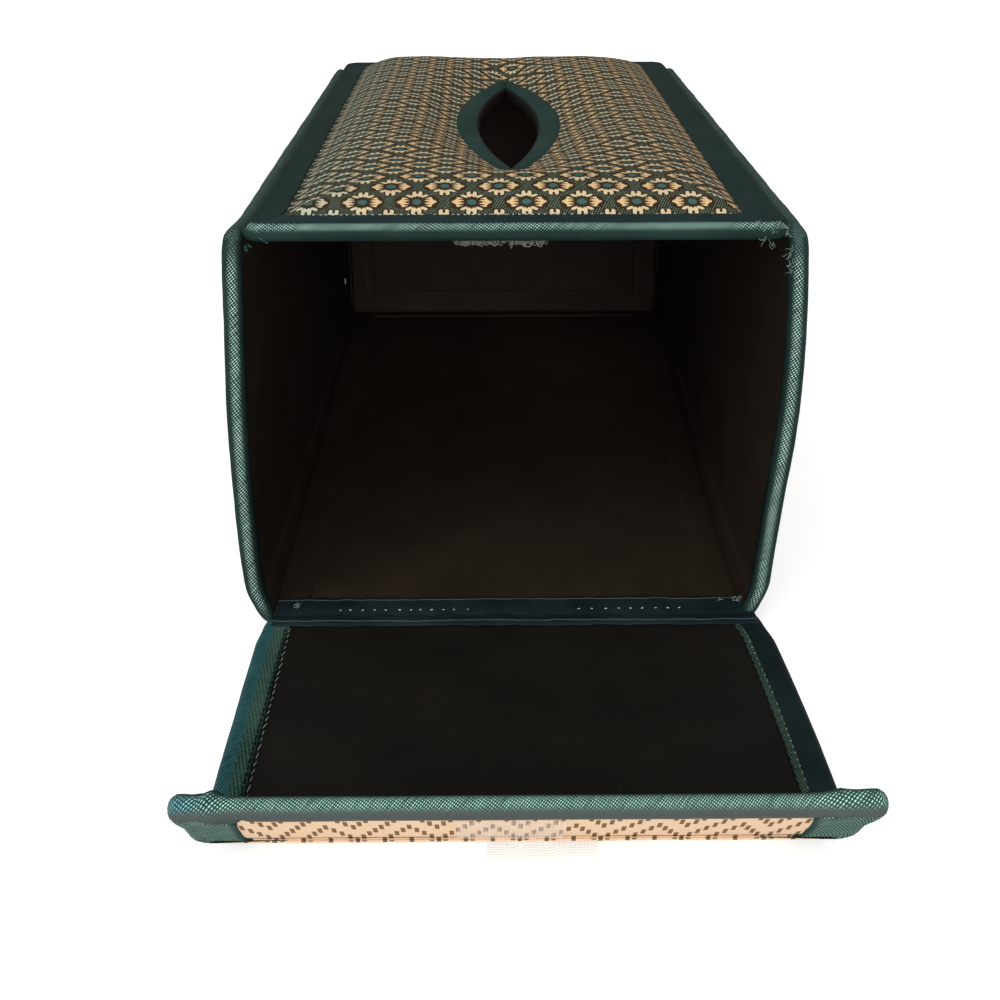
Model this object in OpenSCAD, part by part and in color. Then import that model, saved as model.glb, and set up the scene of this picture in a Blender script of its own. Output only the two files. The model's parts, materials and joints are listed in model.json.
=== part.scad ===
// Padded, cloth-covered tissue box cover with a drop-down front flap.
// Seven stiff panels, each a greyboard sheet with wadding, a woven cover, a lining and a
// bound edge, are sewn edge to edge. The front panel is hinged along the bottom by a sewn
// tape and lies open on the table. Its lip folds up and tucks under the top when it shuts.
// Origin: centre of the bottom face. +Y runs into the box, the flap opens towards -Y.

/* [Box] */
// Width across the two side panels
body_w = 130; // [90:1:180]
// Depth from the front edges to the back face
body_d = 255; // [200:1:320]
// Height to the bound edge of the top panel
body_h = 102; // [80:1:150]
// How far the side panels' top edges lie under the top panel's edge
side_drop = 2; // [0:0.5:4]

/* [Panel layers] */
// Thickness of the greyboard in every panel but the lip
board_t = 2; // [1.2:0.1:3]
// Thickness of the wadding between board and cover
pad_t = 0.5; // [0.3:0.1:1.5]
// Thickness of the woven cover
cover_t = 0.4; // [0.3:0.1:0.8]
// Thickness of the lining cloth
lining_t = 0.3; // [0.2:0.1:0.6]
// Thickness of the binding tape on each face
tape_t = 0.3; // [0.2:0.1:0.6]
// Visible width of the binding on each face
bind_w = 10; // [6:0.5:16]
// Solid roll of binding outside the edge of the board
edge_roll = 1.5; // [1.2:0.1:3]
// Gap left at each sewn seam between two panels
seam_gap = 0.1; // [0.05:0.05:0.3]

/* [Top pad] */
// Height of the top pad's crown over the panel
crown = 5.5; // [3:0.5:10]
// Width of the pad's steep shoulder
shoulder = 5; // [3:0.5:10]
// Distance from the pad's edge to the flat of its crown
crown_inset = 20; // [12:1:28]

/* [Tissue slot] */
// Length of the slot, front to back
slot_l = 130; // [90:1:160]
// Width of the slot at its middle
slot_w = 17.3; // [12:0.1:22]
// Length over the satin ring round the slot
ring_l = 160; // [120:1:185]
// Width over the satin ring at its middle
ring_w = 31; // [25:0.5:40]
// Height that the ring climbs from the board to the pad
ring_rise = 3.2; // [2:0.1:5]
// Thickness of the satin ring
ring_t = 0.5; // [0.3:0.1:1]

/* [Front flap and lip] */
// How far each side edge of the flap lies inside the box's outer face
flap_inset = 2; // [1:0.5:3]
// Gap between two hinged panels' edges
hinge_gap = 1.5; // [1:0.1:3]
// Room over the flap's fold in which the lip swings under the top
swing_room = 10.7; // [7:0.1:12]
// Length of the lip from its fold to its free edge
lip_l = 24; // [16:0.5:25]
// Visible width of the binding along the lip's long edges
lip_bind_w = 4.5; // [3:0.5:7]
// Thickness of the lip's board
lip_board_t = 1.2; // [0.8:0.1:1.4]
// Clearance between each end of the lip and the side panels
lip_clear = 0.4; // [0.3:0.1:2]
// Angle between the open flap's plane and the lip, as it lies on the table
lip_fold = 50; // [45:1:60]

/* [Tapes] */
// Thickness of the hinge and crease tapes
strip_t = 0.4; // [0.3:0.1:0.6]
// Reach of each tape on each side of its fold line
strip_w = 5; // [3:0.1:8]
// Clearance between a tape's rolled edge on the fold line and the tape beyond it
fold_clear = 0.3; // [0.2:0.1:0.6]
// Clearance between each end of a tape and the side panels
strip_clear = 1; // [0.5:0.1:5]
// Width of the hook tape and of the loop tape
fastener_w = 20; // [12:1:40]
// Place of both fastener tapes to the right of the middle
fastener_x = -3; // [-20:1:20]
// Length of the loop tape, front to back
loop_l = 10; // [6:0.5:14]
// Thickness of the loop tape
loop_t = 1.4; // [0.8:0.1:1.6]
// Length of the hook tape along the lip
hook_l = 17; // [8:0.5:20]
// Thickness of the hook tape
hook_t = 0.8; // [0.5:0.1:1]
// Distance of both fastener tapes from the edge they are sewn along
fastener_edge = 2.4; // [2:0.1:3]

/* [Hidden] */
$fn = 96;

// Layers, counted outwards from each panel's inner face
lining_z = tape_t;
board_z = lining_z + lining_t;
pad_z = board_z + board_t;
cover_z = pad_z + pad_t;
panel_t = cover_z + cover_t + tape_t;
thinner = board_t - lip_board_t;
lip_t = panel_t - thinner;

// Panel sizes
inner_w = body_w - 2 * panel_t;
between_w = inner_w - 2 * seam_gap;
side_h = body_h - side_drop;
back_h = body_h - 2 * panel_t - 2 * seam_gap;
flap_w = body_w - 2 * flap_inset;
lip_w = inner_w - 2 * lip_clear;
strip_l = inner_w - 2 * strip_clear;

// Hinge lines, both on the plane of the open flap's inner face
hinge_y = -body_d / 2 - hinge_gap / 2;
hinge_z = panel_t;
fold_run = body_h - 2 * panel_t - swing_room;
flap_l = fold_run - hinge_gap;
fold_y = hinge_y - fold_run;

// How far a cut runs past the face that it opens
past = 1;
// Share of the crown's height that the pad's shoulder reaches
shoulder_share = 0.7;
// Steps along each arc of the slot's lens
lens_steps = 24;

// Colours of the cloths
brocade = "darkslategray";
peach = "burlywood";
satin = "teal";
black_cloth = "#241d1a";
greyboard = "#8f877b";
wadding = "#efece4";

// ---- Shapes that repeat ----

// Flat sheet, centred, from z upwards
module sheet(w, l, z, t) {
    translate([-w / 2, -l / 2, z]) cube([w, l, t]);
}

// Long shape with half-round ends, standing on y = 0
module round_ended(w, t) {
    translate([0, t / 2]) {
        square([w - t, t], center = true);
        for (side = [-1, 1]) translate([side * (w - t) / 2, 0]) circle(d = t);
    }
}

// Slab whose four edges are half round and meet in mitres, from z = 0 upwards
module soft_slab(w, l, t) {
    intersection() {
        rotate([90, 0, 0]) linear_extrude(height = l, center = true) round_ended(w, t);
        rotate([90, 0, 90]) linear_extrude(height = w, center = true) round_ended(l, t);
    }
}

// Layer of a panel: the binding's roll stands outside it all round
module layer(w, l, z, t) {
    sheet(w - 2 * edge_roll, l - 2 * edge_roll, z, t);
}

// Woven cover: it lies under the binding and puffs up to the binding's face inside it
module cover_layer(w, l, z, long_bind = bind_w) {
    layer(w, l, z, cover_t);
    sheet(w - 2 * bind_w, l - 2 * long_bind, z, cover_t + tape_t);
}

// Binding tape folded round all four edges of a panel of thickness t
module binding(w, l, t, long_bind = bind_w) {
    difference() {
        soft_slab(w, l, t);
        layer(w, l, tape_t, t - 2 * tape_t);
        sheet(w - 2 * bind_w, l - 2 * long_bind, -past, t + 2 * past);
    }
}

// Lens between two arcs, long in Y
module lens(l, w) {
    r = (l * l + w * w) / (4 * w);
    reach = asin(l / 2 / r);
    polygon([for (side = [-1, 1], step = [0 : lens_steps - 1])
        let (a = side * reach * (1 - 2 * step / lens_steps))
        [side * (w / 2 - r + r * cos(a)), -r * sin(a)]]);
}

// Lens that opens upwards from the slot at the ring's own slope
module ring_cone(h, grow) {
    spread = h / ring_rise;
    linear_extrude(height = h, slices = 1,
                   scale = [1 + spread * (ring_w / slot_w - 1),
                            1 + spread * (ring_l / slot_l - 1)])
        lens(slot_l + 2 * grow, slot_w + 2 * grow);
}

// Top pad's form up to level over the board: flat under the binding, puffed inside it
module puffed(w, l, level) {
    layer(w, l, pad_z, level);
    hull() {
        sheet(w - 2 * bind_w, l - 2 * bind_w, pad_z + level / 2, level / 2);
        sheet(w - 2 * bind_w - 2 * shoulder, l - 2 * bind_w - 2 * shoulder,
              pad_z + level, shoulder_share * crown);
        sheet(w - 2 * bind_w - 2 * crown_inset, l - 2 * bind_w - 2 * crown_inset,
              pad_z + level, crown);
    }
}

// Straight hole for the slot's wall, through the board and the lining
module slot_shaft() {
    translate([0, 0, -past]) linear_extrude(height = pad_z + past)
        lens(slot_l + 2 * ring_t + 2 * seam_gap, slot_w + 2 * ring_t + 2 * seam_gap);
}

// Flared hole for the ring's slope, through the pad and the cover
module slot_flare() {
    translate([0, 0, pad_z]) ring_cone(crown + pad_t + cover_t + past, ring_t + seam_gap);
}

// ---- Places of the panels: x and y lie in the panel, z leaves its inner face ----

module at_top() {
    translate([0, 0, body_h - panel_t]) children();
}

module at_bottom() {
    translate([0, 0, panel_t]) mirror([0, 0, 1]) children();
}

module at_left() {
    translate([-inner_w / 2, 0, side_h / 2]) rotate([0, -90, 0]) children();
}

module at_right() {
    translate([inner_w / 2, 0, side_h / 2]) rotate([0, 90, 0]) children();
}

module at_back() {
    translate([0, body_d / 2 - panel_t, body_h / 2]) rotate([-90, 0, 0]) children();
}

// Open flap, on the table, with y = 0 at its middle
module at_flap() {
    translate([0, (hinge_y + fold_y) / 2, hinge_z]) mirror([0, 0, 1]) children();
}

// Lip at its fold, with y = 0 on the fold line and the lip along -y
module at_fold() {
    translate([0, fold_y, hinge_z]) rotate([-lip_fold, 0, 0]) mirror([0, 0, 1]) children();
}

// Lip, with y = 0 at its middle
module at_lip() {
    at_fold() translate([0, -(hinge_gap + lip_l) / 2, 0]) children();
}

// ---- Top panel ----

module top_board() {
    color(greyboard) at_top() difference() {
        layer(between_w, body_d, board_z, board_t);
        slot_shaft();
    }
}

module top_pad() {
    color(wadding) at_top() difference() {
        puffed(between_w, body_d, pad_t);
        slot_flare();
    }
}

module top_cover() {
    color(brocade) at_top() difference() {
        puffed(between_w, body_d, pad_t + cover_t);
        puffed(between_w, body_d, pad_t);
        slot_flare();
    }
}

module top_lining() {
    color(black_cloth) at_top() difference() {
        layer(between_w, body_d, lining_z, lining_t);
        slot_shaft();
    }
}

module top_binding() {
    color(satin) at_top() binding(between_w, body_d, panel_t);
}

// Satin ring: a straight wall through the board, then a slope up to the pad
module slot_ring() {
    color(satin) at_top() {
        translate([0, 0, lining_z]) linear_extrude(height = pad_z - lining_z) difference() {
            lens(slot_l + 2 * ring_t, slot_w + 2 * ring_t);
            lens(slot_l, slot_w);
        }
        translate([0, 0, pad_z]) difference() {
            ring_cone(ring_rise, ring_t);
            ring_cone(ring_rise, 0);
        }
    }
}

// ---- Bottom panel ----

module bottom_board() {
    color(greyboard) at_bottom() layer(between_w, body_d, board_z, board_t);
}

module bottom_pad() {
    color(wadding) at_bottom() layer(between_w, body_d, pad_z, pad_t);
}

module bottom_cover() {
    color(black_cloth) at_bottom() cover_layer(between_w, body_d, cover_z);
}

module bottom_lining() {
    color(black_cloth) at_bottom() layer(between_w, body_d, lining_z, lining_t);
}

module bottom_binding() {
    color(satin) at_bottom() binding(between_w, body_d, panel_t);
}

// ---- Side panels ----

module left_board() {
    color(greyboard) at_left() layer(side_h, body_d, board_z, board_t);
}

module left_pad() {
    color(wadding) at_left() layer(side_h, body_d, pad_z, pad_t);
}

module left_cover() {
    color(brocade) at_left() cover_layer(side_h, body_d, cover_z);
}

module left_lining() {
    color(black_cloth) at_left() layer(side_h, body_d, lining_z, lining_t);
}

module left_binding() {
    color(satin) at_left() binding(side_h, body_d, panel_t);
}

module right_board() {
    color(greyboard) at_right() layer(side_h, body_d, board_z, board_t);
}

module right_pad() {
    color(wadding) at_right() layer(side_h, body_d, pad_z, pad_t);
}

module right_cover() {
    color(brocade) at_right() cover_layer(side_h, body_d, cover_z);
}

module right_lining() {
    color(black_cloth) at_right() layer(side_h, body_d, lining_z, lining_t);
}

module right_binding() {
    color(satin) at_right() binding(side_h, body_d, panel_t);
}

// ---- Back panel, between the other four ----

module back_board() {
    color(greyboard) at_back() layer(between_w, back_h, board_z, board_t);
}

module back_pad() {
    color(wadding) at_back() layer(between_w, back_h, pad_z, pad_t);
}

module back_cover() {
    color(brocade) at_back() cover_layer(between_w, back_h, cover_z);
}

module back_lining() {
    color(black_cloth) at_back() layer(between_w, back_h, lining_z, lining_t);
}

module back_binding() {
    color(satin) at_back() binding(between_w, back_h, panel_t);
}

// ---- Front flap ----

module flap_board() {
    color(greyboard) at_flap() layer(flap_w, flap_l, board_z, board_t);
}

module flap_pad() {
    color(wadding) at_flap() layer(flap_w, flap_l, pad_z, pad_t);
}

module flap_cover() {
    color(peach) at_flap() cover_layer(flap_w, flap_l, cover_z);
}

module flap_lining() {
    color(black_cloth) at_flap() layer(flap_w, flap_l, lining_z, lining_t);
}

module flap_binding() {
    color(satin) at_flap() binding(flap_w, flap_l, panel_t);
}

// ---- Lip, with a thinner board ----

module lip_board() {
    color(greyboard) at_lip() layer(lip_w, lip_l, board_z, lip_board_t);
}

module lip_pad() {
    color(wadding) at_lip() layer(lip_w, lip_l, pad_z - thinner, pad_t);
}

module lip_cover() {
    color(peach) at_lip() cover_layer(lip_w, lip_l, cover_z - thinner, lip_bind_w);
}

module lip_lining() {
    color(black_cloth) at_lip() layer(lip_w, lip_l, lining_z, lining_t);
}

module lip_binding() {
    color(satin) at_lip() binding(lip_w, lip_l, lip_t, lip_bind_w);
}

// ---- Tapes over the two folds, each sewn to one of the panels it joins ----

// Tape on a panel's inner face, from this far off a fold line at y = 0 to side * strip_w
module tape_half(side, start) {
    translate([0, side * (start + strip_w) / 2, 0]) sheet(strip_l, strip_w - start, 0, strip_t);
}

// Half with the tape's rolled edge, which lies on the fold line itself
module rolled_half() {
    rotate([0, 90, 0]) cylinder(r = strip_t, h = strip_l, center = true);
    tape_half(1, strip_t / 2);
}

// Half that turns about the rolled edge
module turning_half() {
    tape_half(-1, strip_t + fold_clear);
}

module box_hinge_tape() {
    color(satin) translate([0, hinge_y, hinge_z]) rolled_half();
}

module flap_hinge_tape() {
    color(satin) translate([0, hinge_y, hinge_z]) turning_half();
}

module flap_crease_tape() {
    color(satin) translate([0, fold_y, hinge_z]) rolled_half();
}

module lip_crease_tape() {
    color(satin) at_fold() mirror([0, 0, 1]) turning_half();
}

// ---- Hook and loop fastening ----

module loop_tape() {
    color("dimgray") at_top()
        translate([fastener_x, -body_d / 2 + fastener_edge + loop_l / 2, 0])
            sheet(fastener_w, loop_l, -loop_t, loop_t);
}

module hook_tape() {
    color("whitesmoke") at_fold()
        translate([fastener_x, -hinge_gap / 2 - fastener_edge - hook_l / 2, 0])
            sheet(fastener_w, hook_l, lip_t, hook_t);
}

top_board();
top_pad();
top_cover();
top_lining();
top_binding();
slot_ring();
bottom_board();
bottom_pad();
bottom_cover();
bottom_lining();
bottom_binding();
left_board();
left_pad();
left_cover();
left_lining();
left_binding();
right_board();
right_pad();
right_cover();
right_lining();
right_binding();
back_board();
back_pad();
back_cover();
back_lining();
back_binding();
flap_board();
flap_pad();
flap_cover();
flap_lining();
flap_binding();
lip_board();
lip_pad();
lip_cover();
lip_lining();
lip_binding();
box_hinge_tape();
flap_hinge_tape();
flap_crease_tape();
lip_crease_tape();
loop_tape();
hook_tape();
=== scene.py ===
# %% [markdown]
# # A padded tissue box with a drop-down front
#
# The box is made of stiff grey board. Each board is wrapped in cloth: a woven brocade or a peach cloth
# outside and a thin black lining inside, with a teal satin strip folded over every edge. The front is a
# flap that hangs on a strip of cloth, and its far edge carries a narrow lip that folds into the box and
# closes on a fuzzy patch.
#
# The CAD model already has the boards and the real sizes. This notebook dresses them in cloth.

# %% Load the boards
import json
import math
import random

import bpy
import bmesh
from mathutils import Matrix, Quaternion, Vector, noise

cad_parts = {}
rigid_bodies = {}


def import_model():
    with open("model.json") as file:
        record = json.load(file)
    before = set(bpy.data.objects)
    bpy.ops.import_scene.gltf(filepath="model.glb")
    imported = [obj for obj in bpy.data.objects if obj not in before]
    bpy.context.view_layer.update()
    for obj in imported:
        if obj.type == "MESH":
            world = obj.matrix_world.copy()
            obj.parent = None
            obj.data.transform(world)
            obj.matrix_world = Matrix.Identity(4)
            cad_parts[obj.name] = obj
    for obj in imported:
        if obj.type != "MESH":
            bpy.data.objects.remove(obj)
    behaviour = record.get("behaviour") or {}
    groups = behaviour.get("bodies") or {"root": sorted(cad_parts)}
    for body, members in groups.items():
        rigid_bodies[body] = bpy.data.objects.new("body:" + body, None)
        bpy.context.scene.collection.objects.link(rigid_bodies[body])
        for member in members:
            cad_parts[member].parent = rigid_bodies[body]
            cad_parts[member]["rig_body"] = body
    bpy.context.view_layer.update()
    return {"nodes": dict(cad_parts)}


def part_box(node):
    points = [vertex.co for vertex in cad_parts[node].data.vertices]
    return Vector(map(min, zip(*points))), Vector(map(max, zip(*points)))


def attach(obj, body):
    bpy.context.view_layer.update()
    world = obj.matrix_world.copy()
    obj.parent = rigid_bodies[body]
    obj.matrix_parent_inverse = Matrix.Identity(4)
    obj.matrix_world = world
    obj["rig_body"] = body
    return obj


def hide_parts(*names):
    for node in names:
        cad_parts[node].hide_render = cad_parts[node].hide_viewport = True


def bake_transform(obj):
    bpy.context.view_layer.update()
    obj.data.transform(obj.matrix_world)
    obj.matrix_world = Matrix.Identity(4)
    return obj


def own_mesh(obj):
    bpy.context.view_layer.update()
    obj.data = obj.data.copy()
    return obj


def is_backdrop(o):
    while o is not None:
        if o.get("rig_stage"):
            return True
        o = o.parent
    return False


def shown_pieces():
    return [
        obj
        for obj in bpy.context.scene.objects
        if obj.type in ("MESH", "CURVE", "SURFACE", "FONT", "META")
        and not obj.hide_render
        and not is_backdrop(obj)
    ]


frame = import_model()
MM = 0.001
print("CAD nodes:", len(frame["nodes"]))

# %% [markdown]
# ## Where each panel lies
#
# Every panel is worked out flat, in millimetres: across, up, and out from its inner face. A `Side` then
# puts those flat points where the panel stands in the box, so one way of wrapping a board serves all seven.


# %% Panels in space
def ease(low, high, x):
    """0 below low, 1 above high, and an even S between them."""
    t = min(1.0, max(0.0, (x - low) / (high - low)))
    return t * t * (3 - 2 * t)


class Side:
    """A panel's own across, up and outward directions, and where its flat drawing starts."""

    def __init__(self, body, origin, across, up, half, low, high, thick):
        self.body = body
        self.origin, self.across, self.up = Vector(origin), Vector(across), Vector(up)
        self.out = self.across.cross(self.up)
        self.half, self.low, self.high, self.thick = half, low, high, thick

    def at(self, x, y, z):
        place = self.origin + self.across * x + self.up * y + self.out * z
        if self.body == "box":
            place.x += soft_sides(place.x, place.y, place.z)
        return place * MM


def soft_sides(x, y, z):
    """Box sides bow out at mid height and are drawn in at the table; the front leans a little to one side."""
    front = 1 - ease(-127, 100, y)
    bow = 2.1 * math.sin(math.pi * min(1, max(0, (z - 6) / 96)))
    drawn = 3.3 * ease(12, -1, z)
    lean = -1.3 * ease(80, 10, z) * front
    lean -= 0.9 * ease(62, 30, z) * front * max(0, x) / 65
    if x < 0:
        lean += 1.2 * ease(84, 100, z) * ease(-126, -108, y) * x * x / 65 ** 2
    return (bow - drawn) * front * x * abs(x) / 65 ** 2 + lean


LIP_TILT = math.radians(50)
LIP_UP = (0, -math.cos(LIP_TILT), math.sin(LIP_TILT))
FOLD_Y = -211.95  # mm, the line that the lip folds about
SIDES = {
    "top": Side("box", (0, 0, 98.2), (1, 0, 0), (0, 1, 0), 61.1, -127.5, 127.5, 3.8),
    "bottom": Side("box", (0, 0, 3.8), (-1, 0, 0), (0, 1, 0), 61.1, -127.5, 127.5, 3.8),
    "left": Side("box", (-61.2, 0, 0), (0, -1, 0), (0, 0, 1), 127.5, 0, 100, 3.8),
    "right": Side("box", (61.2, 0, 0), (0, 1, 0), (0, 0, 1), 127.5, 0, 100, 3.8),
    "back": Side("box", (0, 123.7, 0), (-1, 0, 0), (0, 0, 1), 61.1, 3.9, 98.1, 3.8),
    "flap": Side("flap", (0, 0, 3.8), (-1, 0, 0), (0, 1, 0), 63, -211.2, -129, 3.8),
    "lip": Side("lip", (0, FOLD_Y, 3.8), (1, 0, 0), LIP_UP, 60.8, 0.75, 24.75, 3.0),
}
print("panels:", ", ".join(SIDES))

# %% [markdown]
# ## Small tools for cloth
#
# Hand-wrapped cloth is never quite even, so most shapes here get a slow, small unevenness from a noise
# field. A piece keeps its flat size in millimetres as a UV map called `weave`. The thread patterns are
# drawn on that map, so they follow the cloth round an edge just as woven threads do.


# %% Cloth helpers
def uneven(x, y, z, size, amount):
    """A slow rise and fall of that size and height, in mm."""
    return amount * noise.noise(Vector((x, y, z)) / size)


def new_piece(name, points, faces, weave, materials, body=None, marks=None):
    """A mesh from points in metres, with its flat size in mm on the UV map weave. Thread has none."""
    mesh = bpy.data.meshes.new(name)
    mesh.from_pydata(points, [], faces)
    layer = mesh.uv_layers.new(name="weave")
    for loop in mesh.loops:
        layer.data[loop.index].uv = weave[loop.vertex_index] if weave else (0, 0)
    for material in materials:
        mesh.materials.append(material)
    for i, face in enumerate(mesh.polygons):
        face.use_smooth = True
        if marks:
            face.material_index = marks[i]
    mesh.update()
    piece = bpy.data.objects.new(name, mesh)
    bpy.context.scene.collection.objects.link(piece)
    if body:
        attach(piece, body)
    return piece


def grid_faces(columns, rows, skip=lambda i, j: False):
    """Faces of a grid whose points run row by row."""
    faces = []
    for j in range(rows - 1):
        for i in range(columns - 1):
            if not skip(i, j):
                a = j * columns + i
                faces.append((a, a + 1, a + columns + 1, a + columns))
    return faces


def steps(low, high, size):
    """Even steps from low to high, about that size."""
    count = max(1, round((high - low) / size))
    return [low + (high - low) * i / count for i in range(count + 1)]


def flat_map(xs, ys):
    return [(x, y) for y in ys for x in xs]


def closed(upper, count):
    """Closes a sheet into a slab: its points again below, and walls round every open edge."""
    lower = [tuple(count + i for i in reversed(face)) for face in upper]
    edges = {}
    for face in upper:
        for i in range(len(face)):
            a, b = face[i], face[(i + 1) % len(face)]
            if edges.pop((b, a), None) is None:
                edges[(a, b)] = True
    return upper + lower + [(b, a, a + count, b + count) for a, b in edges]


# %% [markdown]
# ## Writing thread patterns as sums
#
# A weave is easiest to write as a formula in the cloth's own millimetres. `Sum` wraps a node's output so
# that plain `+`, `*` and friends add the matching Math nodes, and a pattern reads like the formula it is.


# %% Node sums
def adds(kind):
    """A method that adds one Math node of that kind."""
    return lambda self, *others: self.math(kind, *others)


class Sum:
    """A number at every point of the surface, with plain arithmetic."""

    def __init__(self, tree, socket):
        self.tree = tree
        self.socket = socket

    def math(self, kind, *others):
        node = self.tree.nodes.new("ShaderNodeMath")
        node.operation = kind
        for i, value in enumerate((self,) + others):
            if isinstance(value, Sum):
                self.tree.links.new(value.socket, node.inputs[i])
            else:
                node.inputs[i].default_value = value
        return Sum(self.tree, node.outputs[0])

    __add__, __sub__ = adds("ADD"), adds("SUBTRACT")
    __mul__, __truediv__ = adds("MULTIPLY"), adds("DIVIDE")
    floor, part, size = adds("FLOOR"), adds("FRACT"), adds("ABSOLUTE")
    least, most, below = adds("MINIMUM"), adds("MAXIMUM"), adds("LESS_THAN")

    def wave(self):
        """1 in the middle of each whole step and 0 at its ends."""
        return (self * (2 * math.pi)).math("COSINE") * -0.5 + 0.5

    def ease(self, low, high):
        node = self.tree.nodes.new("ShaderNodeMapRange")
        node.interpolation_type = "SMOOTHSTEP"
        self.tree.links.new(self.socket, node.inputs["Value"])
        node.inputs["From Min"].default_value = low
        node.inputs["From Max"].default_value = high
        return Sum(self.tree, node.outputs["Result"])


class Maker:
    """Adds nodes to one material or one node group."""

    def __init__(self, tree):
        self.tree = tree

    def node(self, kind, **values):
        node = self.tree.nodes.new(kind)
        for name, value in values.items():
            if hasattr(node, name):
                setattr(node, name, value)
            else:
                node.inputs[name.replace("_", " ")].default_value = value
        return node

    def link(self, a, b):
        self.tree.links.new(a.socket if isinstance(a, Sum) else a, b)

    def noise(self, vector, scale, detail=2.0, rough=0.5):
        node = self.node("ShaderNodeTexNoise", Scale=scale, Detail=detail, Roughness=rough)
        self.link(vector, node.inputs["Vector"])
        return Sum(self.tree, node.outputs["Fac"])

    def mix(self, amount, a, b):
        """Colour a where amount is 0 and colour b where it is 1."""
        node = self.node("ShaderNodeMix", data_type="RGBA")
        for value, place in ((amount, 0), (a, 6), (b, 7)):
            if isinstance(value, tuple):
                node.inputs[place].default_value = value + (1,)
            elif isinstance(value, (int, float)):
                node.inputs[place].default_value = value
            else:
                self.link(value, node.inputs[place])
        return node.outputs[2]

    def pair(self, x, y):
        node = self.node("ShaderNodeCombineXYZ")
        self.link(x, node.inputs[0])
        self.link(y, node.inputs[1])
        return node.outputs[0]

    def split(self, vector):
        node = self.node("ShaderNodeSeparateXYZ")
        self.link(vector, node.inputs[0])
        return Sum(self.tree, node.outputs[0]), Sum(self.tree, node.outputs[1])


def new_group(name, inputs, outputs):
    """A node group that takes numbers and directions and gives numbers, never a shader."""
    group = bpy.data.node_groups.new(name, "ShaderNodeTree")
    kinds = {"n": "NodeSocketFloat", "v": "NodeSocketVector"}
    for title, kind, value in inputs:
        socket = group.interface.new_socket(title, in_out="INPUT", socket_type=kinds[kind])
        if value is not None:
            socket.default_value = value
    for title, kind in outputs:
        group.interface.new_socket(title, in_out="OUTPUT", socket_type=kinds[kind])
    start = group.nodes.new("NodeGroupInput")
    end = group.nodes.new("NodeGroupOutput")
    return group, Maker(group), start.outputs, end.inputs


# %% [markdown]
# ### Twill
#
# In a twill the threads step sideways row by row, so the cloth shows fine slanting ribs, broken into short
# beads where the other threads cross them. The group gives the rib height and a tone that varies from
# thread to thread.

# %% Twill group
twill, m, inp, out = new_group(
    "Twill_ribs",
    [("Weave", "v", None), ("Pitch", "n", 0.9), ("Lean", "n", 1.0)],
    [("Rib", "n"), ("Tone", "n")],
)
u, v = m.split(inp["Weave"])
pitch = Sum(twill, inp["Pitch"])
lean = Sum(twill, inp["Lean"])
along = (u + v * lean) / pitch
across = (v - u * lean * 0.55) / pitch
ribs = along.wave() * (across.wave() * 0.6 + 0.4)
threads = m.noise(m.pair(along.floor() * 3.7, v * 0.35), 1.0, 1.0)
m.link(ribs, out["Rib"])
m.link(threads, out["Tone"])

# %% [markdown]
# ### Wear and lint
#
# Dark cloth picks up pale lint and its folds go a little grey with handling. One group gives a slow
# patchiness and a few small specks, and every cloth uses it at its own strength.

# %% Wear group
wear, m, inp, out = new_group("Wear_and_lint", [("Weave", "v", None)], [("Patches", "n"), ("Lint", "n")])
patches = m.noise(inp["Weave"], 0.045, 3.0, 0.6)
specks = m.node("ShaderNodeTexVoronoi", Scale=0.16)
m.link(inp["Weave"], specks.inputs["Vector"])
shape = Sum(wear, specks.outputs["Distance"]) + m.noise(inp["Weave"], 1.6, 1.0) * 0.05
m.link(patches, out["Patches"])
m.link(shape.below(0.055), out["Lint"])

# %% [markdown]
# ### The flower brocade
#
# The brocade is a plain lattice of small eight-petalled flowers, one every 12.6 mm and another between each
# four. Each point is folded into its nearest flower's own corner, so one quarter of a flower draws them
# all. Rounding the place to whole threads gives the stepped edges of a woven figure.

# %% Brocade group
flowers, m, inp, out = new_group(
    "Flower_lattice",
    [("Weave", "v", None)],
    [("Petal", "n"), ("Cream", "n"), ("Outline", "n"), ("Centre", "n")],
)
u, v = m.split(inp["Weave"])
thread = 0.21
PERIOD = 12.6
u = (u / thread).floor() * thread
v = (v / thread).floor() * thread
p = ((u + v) / PERIOD + 0.5).part() - 0.5
q = ((u - v) / PERIOD + 0.5).part() - 0.5
x = ((p + q) * (PERIOD / 2)).size()
y = ((p - q) * (PERIOD / 2)).size()


def oval(x, y, cx, cy, rx, ry):
    """1 at the edge of an oval, less inside."""
    dx = (x - cx) / rx
    dy = (y - cy) / ry
    return (dx * dx + dy * dy).math("SQRT")


side_petal = oval(x, y, 3.1, 0.0, 1.42, 1.55)
side_lines = oval(x, y, 1.95, 0.0, 1.15, 0.24).below(1.0)
side_lines = side_lines.most(oval(x, y - x * 0.10, 1.95, 0.62, 1.1, 0.22).below(1.0))
side_lines = side_lines.most(oval(x, y + x * 0.25, 4.3, 2.2, 0.8, 0.8).below(1.0))
tall_petal = oval(x - y * 0.12, y, 0.25, 2.85, 0.62, 1.05)
tall_notch = oval(x, y, 0.0, 3.55, 0.28, 0.75).below(1.0)
corner_petal = oval(x - y * 0.35, y - x * 0.2, 1.0, 1.75, 0.75, 0.42)
cream = tall_petal.least(corner_petal)
edge = side_petal.least(cream)
m.link(side_petal.below(1.0) * (side_lines * -1.0 + 1.0), out["Petal"])
m.link(cream.below(1.0) * (tall_notch * -1.0 + 1.0), out["Cream"])
m.link(edge.below(1.45).most((x + y).below(2.3)), out["Outline"])
m.link((x * x + y * y * 1.4 + m.noise(m.pair(u, v), 1.4, 1.0) * 0.9).below(1.6), out["Centre"])

# %% [markdown]
# ### The dashed peach cloth
#
# The flap is covered in a plain peach cloth with short upright brown dashes. Each column of dashes is set
# one step higher or lower than the last, which gives a stepped zigzag.

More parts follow.
